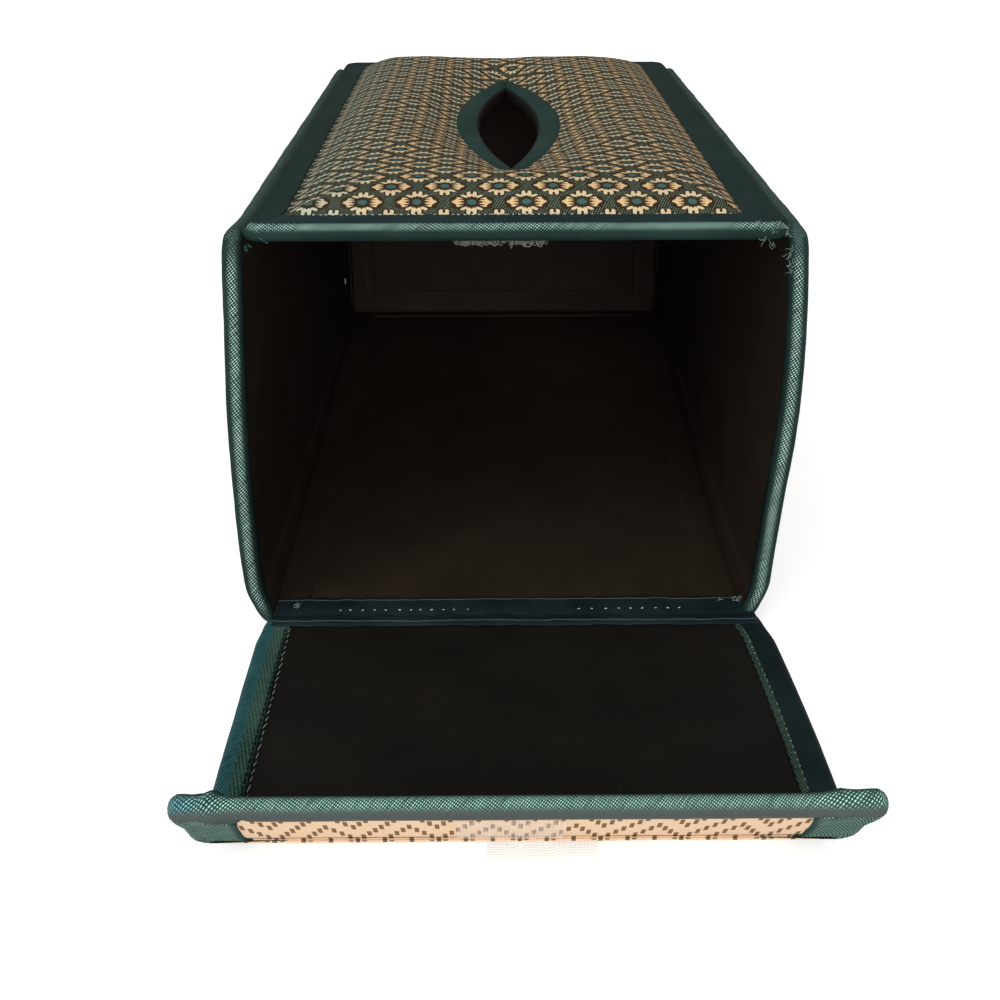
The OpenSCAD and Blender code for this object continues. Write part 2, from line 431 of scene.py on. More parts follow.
# %% Dash group
dashes, m, inp, out = new_group("Dash_rows", [("Weave", "v", None)], [("Dash", "n")])
u, v = m.split(inp["Weave"])
column = (u / 1.3).floor()
zig = (column - (column / 12.0).floor() * 12.0 - 7.0).size()
inside = ((u / 1.3).part() - 0.5).size().below(0.33)
tall = ((v / 2.7 + zig) / 4.0).part().below(0.35)
m.link(inside * tall, out["Dash"])
print("node groups:", ", ".join(g.name for g in bpy.data.node_groups))

# %% [markdown]
# ## The materials
#
# All of them are cloth, so they share a plain recipe: a colour built from masks, a roughness, a little
# sheen for loose fibres, and a bump for the threads. Satin is smoother and takes a soft highlight.


# %% Material helper
def new_material(name, roughness, sheen=0.0, gloss=0.2, colour=(0.5, 0.5, 0.5)):
    material = bpy.data.materials.new(name)
    material.use_nodes = True
    maker = Maker(material.node_tree)
    shader = material.node_tree.nodes["Principled BSDF"]
    shader.inputs["Base Color"].default_value = colour + (1,)
    shader.inputs["Roughness"].default_value = roughness
    shader.inputs["Specular IOR Level"].default_value = gloss
    shader.inputs["Sheen Weight"].default_value = sheen
    shader.inputs["Sheen Roughness"].default_value = 0.4
    weave = maker.node("ShaderNodeUVMap", uv_map="weave").outputs[0]
    return material, maker, shader, weave


def use(maker, group, weave, **values):
    """Puts a group in a material and gives back its outputs."""
    node = maker.node("ShaderNodeGroup", node_tree=group)
    maker.link(weave, node.inputs["Weave"])
    for name, value in values.items():
        node.inputs[name].default_value = value
    return {s.name: Sum(maker.tree, s) for s in node.outputs}


def bump(maker, shader, height, strength, distance):
    node = maker.node("ShaderNodeBump", Strength=strength, Distance=distance)
    maker.link(height, node.inputs["Height"])
    maker.link(node.outputs[0], shader.inputs["Normal"])


def satin(
    name, dark, light, bright, shine=None, pitch=0.62, lean=-1.0,
    roughness=0.6, fade=None, end=None, grey_band=None,
):
    """Twill satin. shine = (from, to) is the part of its width, in mm from the edge, whose ribs catch light.

    fade = (from, to) lets that painted highlight die away towards the run's ends; end = (from, to, colour)
    gives the highlight colour another tint towards one end; grey_band = (from, to, colour) is a greyer part
    of the width.
    """
    material, maker, shader, weave = new_material(name, roughness, 0.0, 0.03)
    rib = use(maker, twill, weave, Pitch=pitch, Lean=lean)
    age = use(maker, wear, weave)
    u, v = maker.split(weave)
    colour = maker.mix(age["Patches"].ease(0.3, 0.75), dark, light)
    glint = (rib["Rib"] * (rib["Tone"] + 0.4)).ease(0.32, 0.72)
    # A greyer band over part of the width, broken by the ribs.
    if grey_band:
        colour = maker.mix(v.ease(grey_band[0], grey_band[1]) * (rib["Rib"] * 0.4 + 0.6), colour, grey_band[2])
    if end:
        bright = maker.mix(u.ease(end[0], end[1]), bright, end[2])
    # Painted highlight: inside the shine band the ribs are mixed to the bright colour. On the rolls this is a
    # painted highlight and on the flap's teal edge a painted sheen; on the nappy edges the same band paints
    # the nap's pale tufts.
    if shine:
        low, high = shine
        band = v.ease(low - 0.7, low + 0.5) * v.ease(high + 0.7, high - 0.5)
        if fade:
            band = band * (u.size().ease(fade[1], fade[0]) * 0.75 + 0.25)
        colour = maker.mix(glint * band, colour, bright)
    else:
        colour = maker.mix(glint * 0.25, colour, bright)
    maker.link(maker.mix(age["Lint"] * 0.3, colour, (0.20, 0.25, 0.23)), shader.inputs["Base Color"])
    bump(maker, shader, rib["Rib"] * 0.6 + rib["Tone"] * 0.4, 0.45, 0.0001)
    return material


# %% Materials
DARK_TEAL = (0.010, 0.024, 0.021)
SOFT_TEAL = (0.018, 0.038, 0.034)
STRIP = satin(
    "Smooth_teal_strip", (0.008, 0.021, 0.017), (0.013, 0.030, 0.026), (0.05, 0.09, 0.08), None, 0.45
)
# The bright colour and band of each roll below are a painted highlight along the roll. The front side rolls'
# highlight is painted weaker towards their ends, and the lip roll's highlight takes a paler tint at one end.
TOP_ROLL = satin("Teal_twill_roll", DARK_TEAL, SOFT_TEAL, (0.42, 0.66, 0.58), (0.9, 2.1), 0.66)
SIDE_ROLL = satin(
    "Teal_twill_front_roll", DARK_TEAL, SOFT_TEAL, (0.50, 0.74, 0.67), (-1.1, 0.3), 0.72, 1.0, fade=(41, 47)
)
EDGE_ROLL = satin(
    "Teal_twill_far_roll", (0.009, 0.024, 0.021), SOFT_TEAL, (0.15, 0.24, 0.21), (-1.5, 1.2), 0.7, 1.0
)
LIP_ROLL = satin(
    "Teal_twill_lip_roll", (0.018, 0.040, 0.037), (0.034, 0.060, 0.056), (0.40, 0.72, 0.57),
    (-1.1, 0.5), 0.52,
    end=(53, 60, (0.20, 0.52, 0.60)), grey_band=(0.2, 1.2, (0.078, 0.090, 0.089)),
)
LIP_END = satin(
    "Teal_twill_lip_end", (0.010, 0.034, 0.029), (0.024, 0.060, 0.050), (0.26, 0.44, 0.36), (-3, 9), 0.66, 0.8
)
NAVY = satin("Navy_satin_strip", (0.008, 0.021, 0.023), (0.016, 0.036, 0.038), (0.04, 0.07, 0.07), None, 0.45)
RING = satin(
    "Slot_ring_satin", (0.012, 0.034, 0.028), (0.022, 0.052, 0.044), (0.05, 0.11, 0.10), None, 0.45, 0.6
)
TAPE, m, shader, weave = new_material("Navy_hinge_tape", 0.6, 0.0, 0.05)
u, v = m.split(weave)
age = use(m, wear, weave)
colour = m.mix(age["Patches"].ease(0.3, 0.7), (0.006, 0.012, 0.015), (0.015, 0.024, 0.028))
for line in (52.1, 62.9):  # mm along the tape, a seam on each side of the fold
    thin = (v + age["Patches"] * 0.8 - line - 0.4).size()
    colour = m.mix(thin.ease(0.28, 0.1) * 0.45, colour, (0.20, 0.25, 0.27))
m.link(colour, shader.inputs["Base Color"])
bump(m, shader, (u / 0.5).wave() * 0.3 + age["Patches"] * 2.0, 0.4, 0.0002)


def lining(name, dark, light):
    """Thin plain-woven lining, near black, with a fine even grain and slow patches."""
    material, maker, shader, weave = new_material(name, 0.72, 0.0, 0.12)
    u, v = maker.split(weave)
    age = use(maker, wear, weave)
    grain = (u / 0.5).wave() * 0.5 + (v / 0.5).wave() * 0.5
    tone = age["Patches"].ease(0.3, 0.8) * 0.7 + grain * 0.3
    colour = maker.mix(tone, dark, light)
    maker.link(maker.mix(age["Lint"] * 0.25, colour, (0.12, 0.11, 0.10)), shader.inputs["Base Color"])
    bump(maker, shader, grain + age["Patches"] * 2.0, 0.4, 0.0001)
    return material


BLACK_LINING_AND_SLOT_SHADE = lining("Black_lining", (0.0060, 0.0050, 0.0034), (0.0112, 0.0092, 0.0064))
# Painted light: the lining inside the box is made about three times lighter than the same lining on the flap,
# standing in for light that the dim inside of the box lacks.
LIGHTENED_INSIDE_LINING = lining("Brown_black_lining_painted_lighter", (0.018, 0.0122, 0.0080), (0.030, 0.0205, 0.0140))

BROCADE, m, shader, weave = new_material("Flower_brocade", 0.8, 0.0, 0.04)
bloom = use(m, flowers, weave)
rib = use(m, twill, weave, Pitch=0.60, Lean=-0.45)
age = use(m, wear, weave)
ground = m.mix((rib["Rib"] + rib["Tone"] * 0.5).ease(0.55, 1.05), (0.010, 0.015, 0.009), (0.21, 0.24, 0.18))
colour = m.mix(bloom["Outline"], ground, (0.040, 0.023, 0.010))
u, v = m.split(weave)
# Painted sheen: where the weave's u falls below -30 mm, which on the top is its left side, the petals are
# mixed towards a pale teal-white.
painted_sheen = u.ease(-30, -52) * 0.7
colour = m.mix(bloom["Petal"], colour, m.mix(painted_sheen, (0.78, 0.54, 0.29), (0.42, 0.50, 0.40)))
colour = m.mix(bloom["Cream"], colour, m.mix(painted_sheen, (0.72, 0.58, 0.36), (0.50, 0.58, 0.46)))
colour = m.mix(bloom["Centre"], colour, (0.055, 0.135, 0.13))
m.link(m.mix(age["Patches"] * 0.22, colour, (0.03, 0.035, 0.025)), shader.inputs["Base Color"])
raised = bloom["Petal"] + bloom["Cream"] + rib["Rib"] * 0.35
bump(m, shader, raised, 0.5, 0.00025)

PEACH, m, shader, weave = new_material("Peach_dash_cloth", 0.8, 0.0, 0.15)
u, v = m.split(weave)
dash = use(m, dashes, weave)
age = use(m, wear, weave)
grain = (u / 0.5).wave() * (v / 0.5).wave()
cloth = m.mix(grain, (0.80, 0.575, 0.395), (0.88, 0.66, 0.475))
colour = m.mix(dash["Dash"], cloth, (0.19, 0.105, 0.05))
m.link(m.mix(age["Patches"] * 0.06, colour, (0.4, 0.28, 0.18)), shader.inputs["Base Color"])
bump(m, shader, grain * 0.5 + dash["Dash"], 0.4, 0.0002)


def speckled(name, scale, dark, light, roughness=0.8, sheen=0.0, gloss=0.05, detail=2.0):
    """A plain colour with fine specks, for threads, pile and board."""
    material, maker, shader, weave = new_material(name, roughness, sheen, gloss)
    place = maker.node("ShaderNodeTexCoord").outputs["Object"]
    maker.link(maker.mix(maker.noise(place, scale, detail), dark, light), shader.inputs["Base Color"])
    return material


WHITE_THREAD = speckled("White_thread", 900.0, (0.30, 0.34, 0.32), (0.62, 0.64, 0.58), 0.7, 0.2, 0.2)
TEAL_THREAD = speckled("Teal_thread", 900.0, (0.02, 0.10, 0.10), (0.08, 0.28, 0.26), 0.6, 0.2, 0.2)
DARK_THREAD = speckled("Dark_thread", 900.0, (0.003, 0.006, 0.006), (0.012, 0.022, 0.020))
FRAYED_THREAD = speckled("Frayed_thread", 700.0, (0.06, 0.13, 0.11), (0.34, 0.42, 0.38))
DUSTY_THREAD = speckled("Dusty_thread", 700.0, (0.05, 0.035, 0.025), (0.16, 0.12, 0.09))
PILE = speckled("Loop_pile", 420.0, (0.10, 0.085, 0.075), (0.34, 0.31, 0.28), 0.85, 0.4, 0.2)
BOARD = speckled("Grey_board", 260.0, (0.22, 0.20, 0.18), (0.34, 0.31, 0.27), 0.85, 0.0, 0.2, 6.0)

MESH, m, shader, weave = new_material("White_hook_mesh", 0.45, 0.0)
u, v = m.split(weave)
holes = (u / 0.8).wave() * (v / 0.8).wave()
m.link(m.mix(holes, (0.97, 0.92, 0.86), (1.0, 0.97, 0.93)), shader.inputs["Base Color"])
m.link(holes.ease(0.9, 0.3) * 0.20 + 0.08, shader.inputs["Alpha"])
bump(m, shader, holes, 0.4, 0.0002)

WADDING, m, shader, weave = new_material("White_wadding", 0.95, 0.3)
place = m.node("ShaderNodeTexCoord").outputs["Object"]
fluff = m.noise(place, 500.0, 5.0)
m.link(m.mix(fluff, (0.62, 0.60, 0.56), (0.84, 0.83, 0.80)), shader.inputs["Base Color"])
bump(m, shader, fluff, 0.6, 0.0005)
print("materials:", len(bpy.data.materials))

# %% [markdown]
# ## Plain panels
#
# A cover or a lining is cut a little larger than its board, pulled flat and tucked under the binding.
# Pulled cloth still shows faint ripples, so each sheet is a fine grid with a slow unevenness.


# %% Covers and linings
TUCK = 3  # mm left bare round each cloth, under the binding


def sheet_on(side, name, z, tuck, material, facing, lift, replaces, step=2.5):
    """A sheet over one face of a panel. facing is 1 outside and -1 inside; lift(x, y) raises it, in mm."""
    xs = steps(-side.half + tuck, side.half - tuck, step)
    ys = steps(side.low + tuck, side.high - tuck, step)
    points = [side.at(x, y, z + facing * lift(x, y)) for y in ys for x in xs]
    faces = grid_faces(len(xs), len(ys))
    if facing < 0:
        faces = [tuple(reversed(f)) for f in faces]
    piece = new_piece(name, points, faces, flat_map(xs, ys), [material], side.body)
    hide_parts(*replaces)
    return piece


def edge_in(side, x, y):
    """How far a point lies inside the panel's edge."""
    return min(side.half - abs(x), y - side.low, side.high - y)


def pulled(side, puff, seed):
    """Cloth pulled over thin wadding: a low, even puff that fades to the binding, with faint ripples."""
    def lift(x, y):
        inner = ease(0, 14, edge_in(side, x, y) - 9)
        return puff * inner + uneven(x, y, seed, 22, 0.25) * inner
    return lift


for name in ("left", "right", "back", "bottom"):
    side = SIDES[name]
    sheet_on(side, name + "-brocade", 3.5, TUCK, BROCADE, 1, pulled(side, 0.6, 3), [name + "_cover"])
for name in ("left", "right", "back", "bottom"):
    side = SIDES[name]
    sheet_on(side, name + "-lining", 0.3, TUCK, LIGHTENED_INSIDE_LINING, -1, pulled(side, 0.0, 7), [name + "_lining"])

# %% [markdown]
# ## Bound edges
#
# A binding is one long strip of satin. It is sewn along the outer face, folded over the edge of the board
# so that it makes a small round roll, and sewn down again inside. At a corner the two runs meet in a mitre,
# a crease that runs in from the corner. Each run here is a grid: along the edge one way, and outer face,
# roll and inner face the other way.


# %% Binding maker
def rounded(side, x, y, r):
    """Rounds a panel's corners, from a square one to a quarter circle of radius r."""
    middle = (side.low + side.high) / 2
    tall = (side.high - side.low) / 2
    a = (abs(x) - (side.half - r)) / r
    b = (abs(y - middle) - (tall - r)) / r
    if a <= 0 or b <= 0:
        return x, y
    shrink = max(a, b) / math.hypot(a, b)
    a *= shrink
    b *= shrink
    x = math.copysign(side.half - r + a * r, x)
    y = middle + math.copysign(tall - r + b * r, y - middle)
    return x, y


RUNS = ("low", "right", "high", "left")
CORNER = 12  # mm at each end of a run that lean over to meet the next one
INNER = -1.2  # mm round the roll from its middle, where the inner side's colour begins


def binding(
    panel, widths, paint, materials, round_by, swell, seed, dress=None, crease=0.3, square=1.0, cut=None
):
    """Four runs of satin folded over a panel's edges. widths gives each run's width outside and inside."""
    side = SIDES[panel]
    middle = (side.low + side.high) / 2
    tall = (side.high - side.low) / 2
    points, flat, faces, marks = [], [], [], []
    for k, run in enumerate(RUNS):
        half_run = side.half if run in ("low", "high") else tall
        outside, inside = widths[run]
        before = widths[RUNS[k - 1]]
        after = widths[RUNS[(k + 1) % 4]]
        r = side.thick / 2
        section = [(outside, side.thick - 0.45, outside + 1.0)]
        for e in (outside, outside - 0.5, outside * 0.7, outside * 0.4, r + 0.6):
            section.append((e, side.thick + (0.06 if e == outside else 0.12), e + 1.0))
        for i in range(9):
            turn = math.pi * i / 8
            rad = r + swell
            over = math.sin(turn) ** square
            rise = math.copysign(abs(math.cos(turn)) ** square, math.cos(turn))
            section.append((r - rad * over, r + rad * rise, r * (math.pi / 2 - turn)))
        for e in (r + 0.6, inside * 0.5, inside * 0.8, inside):
            section.append((e, -0.08, -e - 1.0))
        section.append((inside, 0.3, -inside - 1.0))
        corner = [half_run - CORNER * (1 - i / 9) for i in range(10)]
        along = [-half_run + CORNER * i / 9 for i in range(9)]
        along += [s for s in steps(-half_run, half_run - CORNER, 1.6) if abs(s) < half_run - CORNER] + corner
        start = len(points)
        for s in along:
            for e, z, v in section:
                outer_face = z > r
                to = after if s > 0 else before
                grow = (to[0] / outside) if outer_face else (to[1] / inside)
                pull = e * (grow if e > r + 0.5 else 1)
                edge = half_run - abs(s)
                place = s
                if edge < CORNER:
                    place = math.copysign(half_run - (pull + (CORNER - pull) * edge / CORNER), s)
                mitre = math.exp(-((edge / 0.8) ** 2)) * crease * ease(r, r + 1, e)
                lump = uneven(place * 1.3, z * 2 + k * 40, seed, 6, 0.16) + uneven(place, seed, z, 20, 0.25)
                lump *= ease(0, 4, edge)
                x, y = {
                    "low": (place, side.low + e - lump * 0.5),
                    "high": (-place, side.high - e + lump * 0.5),
                    "right": (side.half - e + lump * 0.5, middle + place),
                    "left": (-side.half + e - lump * 0.5, middle - place),
                }[run]
                x, y = rounded(side, x, y, round_by)
                z = z + (-mitre if outer_face else mitre) + (lump * 0.4 if 0.3 < z else 0)
                if dress:
                    x, y, z = dress(x, y, z, e, run)
                points.append(side.at(x, y, z))
                flat.append((place, v))
        n = len(section)
        for j in range(len(along) - 1):
            for i in range(n - 1):
                a = start + j * n + i
                faces.append((a, a + n, a + n + 1, a + 1))
                marks.append(paint(run, section[i][2]))
    piece = new_piece(panel + "-satin-binding", points, faces, flat, materials, side.body, marks)
    fix_normals(piece)
    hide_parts(panel + "_binding")
    if cut:
        for word, way in (("left", -1), ("right", 1)):
            cut_end(piece, panel + "-end-" + word, way, cut)
    return piece


def cut_end(piece, name, way, cut):
    """Cuts what lies beyond x = way * cut off as a piece of its own."""
    end = piece.copy()
    end.data = piece.data.copy()
    end.name = name
    bpy.context.scene.collection.objects.link(end)
    for thing, side in ((end, -way), (piece, way)):
        work = bmesh.new()
        work.from_mesh(thing.data)
        parts = work.verts[:] + work.edges[:] + work.faces[:]
        bmesh.ops.bisect_plane(
            work, geom=parts, dist=1e-7, plane_co=(way * cut, 0, 0), plane_no=(side, 0, 0), clear_outer=True
        )
        work.to_mesh(thing.data)
        work.free()
    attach(end, piece["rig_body"])
    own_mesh(end)
    return end


def fix_normals(piece):
    """Turns every face outwards."""
    work = bmesh.new()
    work.from_mesh(piece.data)
    bmesh.ops.recalc_face_normals(work, faces=work.faces)
    work.to_mesh(piece.data)
    work.free()


def plain(run, v):
    """Smooth satin outside, and the lining's own black inside."""
    return 1 if v < INNER else 0


def all_runs(outside, inside, **other):
    widths = {run: (outside, inside) for run in RUNS}
    widths.update(other)
    return widths


# %% [markdown]
# The top's front run is darker outside than its roll, whose brightness is a painted highlight, and each side
# panel shows a teal roll in front with a painted highlight, and a narrow navy band inside.


# %% Bind the box panels
def front_paint(front):
    """In front a bright roll with navy beyond; elsewhere a smooth strip, black inside, and a top roll."""
    def paint(run, v):
        if run == front:
            return 0 if abs(v) <= 2.6 else 1
        if run == "high" and abs(v) < 2.4:
            return 4
        return 3 if v < INNER else 2
    return paint


widths = all_runs(9.6, 9, low=(9.2, 4), left=(8.0, 9))
binding("top", widths, front_paint("low"), [TOP_ROLL, NAVY, STRIP, LIGHTENED_INSIDE_LINING, STRIP], 5.0, 0.3, 1)
binding("bottom", all_runs(9, 9, low=(9, 7)), plain, [STRIP, LIGHTENED_INSIDE_LINING], 0.3, 0.06, 2, crease=0.0, square=0.3)
for panel, front, seed in (("left", "right", 3), ("right", "left", 4)):
    widths = all_runs(9.6, 9)
    widths[front] = (9.6, 4.6)
    binding(panel, widths, front_paint(front), [SIDE_ROLL, NAVY, STRIP, LIGHTENED_INSIDE_LINING, EDGE_ROLL], 5.0, 0.25, seed)
binding("back", all_runs(9.6, 9), plain, [STRIP, LIGHTENED_INSIDE_LINING], 0.3, 0.12, 5, crease=0.0, square=0.3)
print("bound panels:", sum("binding" in piece.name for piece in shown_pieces()))

# %% [markdown]
# ## The padded top
#
# Wadding fills the top out into a low cushion. It climbs steeply from the binding, lies almost flat, and
# dips again to the satin ring round the slot, where all the layers are sewn together.


# %% Cushion shape
SLOT_LENGTH, SLOT_WIDTH = 130, 17.3
RING_LENGTH, RING_WIDTH = 160, 31
CROWN = 5.7  # mm that the wadding lifts the top's middle


def lens_half(y, length, width):
    """Half the width of a lens shape at y, 0 past its tips."""
    y = min(abs(y), length / 2)
    r = (length * length + width * width) / (4 * width)
    return width / 2 - r + math.sqrt(max(0.0, r * r - y * y))


def from_ring(x, y):
    """How far a point of the top lies outside the ring, negative inside it."""
    aside = abs(x) - lens_half(y, RING_LENGTH, RING_WIDTH)
    beyond = abs(y) - RING_LENGTH / 2
    if aside < 0 and beyond < 0:
        return aside
    return math.hypot(max(aside, 0), max(beyond, 0))


def cushion(x, y):
    """Height of the top's cover over its flat edge, in mm."""
    side = SIDES["top"]
    inset = max(0.0, edge_in(side, x, y) - 9.0)
    rise = 1 - (1 - min(inset / 21, 1.0)) ** 2.3
    r = from_ring(x, y)
    dip = 0.12 + 0.58 * ease(-2, 12, r) + 0.30 * ease(4, 22, r)
    height = CROWN * rise * dip
    folds = uneven(x, y * 0.6, 2, 14, 0.55) + uneven(x, y, 5, 30, 0.8)
    height += folds * rise * ease(-2, 10, r)
    if r < 0.6:
        height -= 0.9 * ease(0.6, -2, r)
    return height


side = SIDES["top"]
xs = steps(-side.half + TUCK, side.half - TUCK, 1.3)
ys = steps(side.low + TUCK, side.high - TUCK, 1.5)
points = [side.at(x, y, 3.5 + cushion(x, y)) for y in ys for x in xs]
flat = [(x - 2.6, y + 0.9) for y in ys for x in xs]


def slot_cut(inside):
    """Picks the faces of the top's grid that lie that far inside the ring's edge."""
    return lambda i, j: from_ring((xs[i] + xs[i + 1]) / 2, (ys[j] + ys[j + 1]) / 2) < -inside


open_slot = slot_cut(2.4)
top_cover = new_piece("top-brocade", points, grid_faces(len(xs), len(ys), open_slot), flat, [BROCADE], "box")
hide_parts("top_cover")
print("cushion height:", round(max(cushion(x, y) for y in ys for x in xs), 2), "mm")

# %% [markdown]
# The wadding itself is a closed pillow just under the cover. It is a piece of its own, so the box is padded
# and not only shaped to look so.

# %% Wadding in the top
points = [side.at(x, y, 2.6 + max(0.5, cushion(x, y) + 0.3)) for y in ys for x in xs]
points += [side.at(x, y, 2.6) for y in ys for x in xs]
faces = closed(grid_faces(len(xs), len(ys), open_slot), len(xs) * len(ys))
top_wadding = new_piece("top-wadding", points, faces, flat * 2, [WADDING], "box")
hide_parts("top_pad")

# %% [markdown]
# ## The ring round the slot
#
# A band of satin lines the slot. It runs up through the board, turns over a soft padded lip and is sewn
# down on the brocade. Its tips come together in two narrow points.


# %% Slot ring
def ring_point(turn, w, z):
    """A point on the lens that grows from the slot (w 0) to the ring's outer edge (w 1)."""
    length = SLOT_LENGTH + (RING_LENGTH - SLOT_LENGTH) * w
    width = SLOT_WIDTH + (RING_WIDTH - SLOT_WIDTH) * w
    y = -length / 2 * math.cos(turn)
    x = lens_half(y, length, width)
    if turn > math.pi:
        x = -x
    return x, y, z


rim = [
    (0.03, 0.1), (0.01, 1.4), (0.02, 2.5), (0.05, 3.1), (0.12, 3.5), (0.26, 3.9), (0.42, 4.2),
    (0.60, 4.5), (0.80, 4.6), (0.94, 4.45), (1.02, 4.1), (1.04, 3.5), (1.02, 2.8),
]
TURNS = 220
points, flat, faces = [], [], []
run = 0
last = None
for k in range(TURNS):
    turn = 2 * math.pi * k / TURNS
    x, y, z = ring_point(turn, 0.5, 0)
    if last:
        run += math.hypot(x - last[0], y - last[1])
    last = (x, y)
    tip = ease(0.0, 0.35, abs(math.sin(turn)))
    for w, z in rim:
        x, y, z = ring_point(turn, w, z)
        z += uneven(x * 2, y, 9, 9, 0.25) * ease(0.1, 0.5, w) - (1 - tip) * 0.8 * ease(0, 0.5, w)
        points.append(SIDES["top"].at(x, y, z))
        flat.append((run, 6 * w))
n = len(rim)
for j in range(TURNS):
    for i in range(n - 1):
        a = j * n + i
        b = ((j + 1) % TURNS) * n + i
        faces.append((a, a + 1, b + 1, b))
# Painted shade: the lowest faces of the ring, its wall down into the slot, take the black lining in place of
# satin, for the shadow inside the slot.
shaded_wall = [1 if k % (n - 1) < 4 else 0 for k in range(len(faces))]
ring = new_piece("slot-satin-ring", points, faces, flat, [RING, BLACK_LINING_AND_SLOT_SHADE], "box", shaded_wall)
fix_normals(ring)
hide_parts("slot_ring")
print("ring runs", round(run), "mm round the slot")

# %% [markdown]
# The lining under the top is cut away at the slot too.

# %% Lining under the top
points = [side.at(x, y, 0.3) for y in ys for x in xs]
faces = [tuple(reversed(face)) for face in grid_faces(len(xs), len(ys), slot_cut(4.4))]
under = new_piece("top-lining", points, faces, flat_map(xs, ys), [LIGHTENED_INSIDE_LINING], "box")
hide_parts("top_lining")

# %% [markdown]
# ## The flap
#
# The open flap shows its inside: black lining between two wide satin strips. Its outside, face down on the
# table, is the peach cloth. The strip on one side was cut with a nappy edge turned in, so its inner half
# looks like velvet; on the other side only a narrow part of that edge shows.

# %% Flap cloth
NAP = (0.07, 0.16, 0.13)
PALE_NAP = (0.10, 0.18, 0.14)
VELVET = satin(
    "Nappy_teal_edge", (0.006, 0.026, 0.021), (0.040, 0.070, 0.050), NAP, (-8, -2.5), 0.8, 0.4, 0.9
)
DARK_NAP = satin(
    "Dark_nappy_edge", (0.005, 0.012, 0.010), (0.020, 0.032, 0.022), PALE_NAP, (-9, -4.6), 0.65, 0.4, 0.9
)
OUTER = satin(
    "Dark_flap_edge", (0.004, 0.008, 0.009), (0.010, 0.018, 0.020), (0.05, 0.10, 0.10), None, 0.5, 1.0
)
# Painted sheen: the shine band of this teal flap edge mixes its ribs to a paler teal.
FLAP_TEAL = satin(
    "Teal_satin_flap_edge", (0.006, 0.032, 0.040), (0.014, 0.055, 0.062), (0.07, 0.20, 0.20),
    (-6, 2.5), 0.6, 1.0,
)
flap = SIDES["flap"]


def flap_paint(run, v):
    """Teal and nap on one side; a dark strip and a narrow nap on the other; navy at the tape and the fold."""
    if run == "right":
        return 2 if v < -3.7 else 0
    if run == "left":
        return 3 if v < -4.9 else 4
    return 1


def flap_flare(x, y, z, e, run):
    """It is narrower where the tape holds it, and its side edges bow out towards the lip."""
    held = (y + 211) / 82
    held_back = ease(-141, -129, y)
    bow = 0.1 - 0.3 * held - 1.0 * held_back if x > 0 else 1.7 - 2.6 * held * held - 1.3 * held_back
    y += (1.0 if x > 0 else 2.0) * ease(-136, -129, y) * ease(42, 58, abs(x))
    return x + bow * ease(35, 60, abs(x)) * (1 if x > 0 else -1), y, z


flap_edges = {"low": (9, 6), "right": (9.6, 6.9), "high": (9, 3.5), "left": (9.6, 7.7)}
binding("flap", flap_edges, flap_paint, [FLAP_TEAL, NAVY, VELVET, DARK_NAP, OUTER], 2.5, 0.2, 16, flap_flare)
sheet_on(flap, "flap-peach-cover", 3.4, TUCK, PEACH, 1, pulled(flap, 0.3, 12), ["flap_cover"])
sheet_on(flap, "flap-lining", 0.3, TUCK, BLACK_LINING_AND_SLOT_SHADE, -1, lambda x, y: uneven(x, y, 4, 26, 0.2), ["flap_lining"])

# %% [markdown]
# ## The lip
#
# The lip is a narrow board of its own, held to the flap only by the cloth that runs round the fold. Its
# free edge has a full round roll of twill, and the ends of that roll are bunched into small knobs where the
# strip was tucked. The knobs are wider than the opening. They are only cloth, so each is cut off as a piece
# of its own.

# %% Lip cloth
lip = SIDES["lip"]


def lip_knobs(x, y, z, e, run):
    """The roll's ends stand out where the strip is bunched, and a fold crosses the roll near one end."""
    near = ease(50, 60.8, abs(x)) * ease(12, 24, y)
    x += math.copysign((4.2 if x > 0 else 3.2) * near, x)
    if y < 3:
        z -= 0.5 * ease(3, 1, y)
    belly = ease(40, 60, abs(x)) * ease(24, 12, y) * ease(-1, 6, y) * ease(0, 3, z)
    x += math.copysign((3.2 if x > 0 else 2.6) * belly, x)
    aside = x + 55.5 + (y - 22) * 0.5
    wound = math.exp(-((aside / 1.6) ** 2)) - 0.7 * math.exp(-(((abs(aside) - 2.6) / 0.6) ** 2))
    wound = 1.4 * wound + 0.8 * math.exp(-(((x - 57) / 1.4) ** 2))
    z += (0.5 * near + 0.45 * wound * ease(14, 20, y)) * (z - 1.5) / 1.5
    y += (1.0 if x > 0 else 0.3) * near + 0.5 * wound * ease(20, 24, y)
    return x, y, z


def lip_paint(run, v):
    if run == "low":
        return 2
    return 1 if run in ("left", "right") and v > 1.2 else 0


lip_cloth = [LIP_ROLL, LIP_END, PEACH]
widths = all_runs(9, 9, low=(1.2, 1.2), high=(5.6, 4.5))
binding("lip", widths, lip_paint, lip_cloth, 2.0, 0.55, 8, lip_knobs, cut=0.060)
sheet_on(lip, "lip-peach-face", 2.75, 1.4, PEACH, 1, pulled(lip, 0.0, 15), ["lip_cover"], 1.2)
sheet_on(lip, "lip-lining", 0.25, 1.4, BLACK_LINING_AND_SLOT_SHADE, -1, lambda x, y: 0, ["lip_lining"], 2.0)


# %% [markdown]
# The peach cloth runs on round the fold, from under the flap to the lip's face. It is the lip's hinge.

